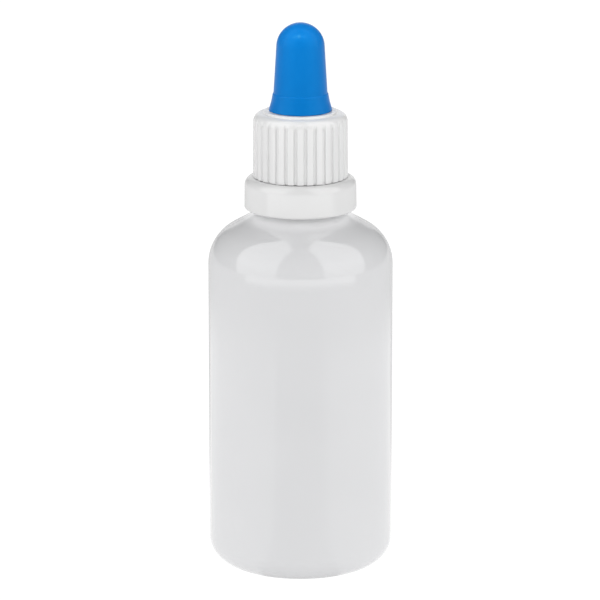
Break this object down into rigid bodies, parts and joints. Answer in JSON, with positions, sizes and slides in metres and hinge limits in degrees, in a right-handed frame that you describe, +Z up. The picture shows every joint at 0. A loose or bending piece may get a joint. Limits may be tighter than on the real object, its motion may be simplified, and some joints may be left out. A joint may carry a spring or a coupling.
{
  "type": "dropper bottle",
  "caption": "Round white glass bottle with sloping shoulders, a ribbed screw cap over a breakable smooth band, and a blue rubber teat holding a glass pipette.",
  "frame": {"origin": "centre of the bottle's base, on the plane it stands on", "axes": "+Z up along the bottle's axis, out through the mouth; the parts are round, so +X and +Y are free"},
  "size_m": [0.038, 0.038, 0.1138],
  "materials": {
    "white_glass": "glossy, opaque white",
    "white_plastic": "satin moulded",
    "blue_rubber": "satin",
    "clear_glass": "clear, polished"
  },
  "bodies": {
    "bottle": {"glass_bottle": "white_glass"},
    "dropper": {"rubber_teat": "blue_rubber", "glass_pipette": "clear_glass"},
    "cap": {"screw_cap": "white_plastic"},
    "band": {"tamper_band": "white_plastic", "break_bridges": "white_plastic"}
  },
  "joints": [
    {"name": "cap_turn", "type": "hinge", "parent": "dropper", "child": "cap", "pos_m": [0, 0, 0.0888], "axis": [0, 0, 1], "range_deg": [0, 10080.01]},
    {"name": "dropper_lift", "type": "slide", "parent": "bottle", "child": "dropper", "axis": [0, 0, 1], "range_m": [0, 0.084]},
    {"name": "band_turn", "type": "hinge", "parent": "bottle", "child": "band", "pos_m": [0, 0, 0.0786], "axis": [0, 0, 1], "continuous": true}
  ],
  "couplings": [
    {"joint": "cap_turn", "follows": "dropper_lift", "rad_per_m": 2094.4}
  ]
}
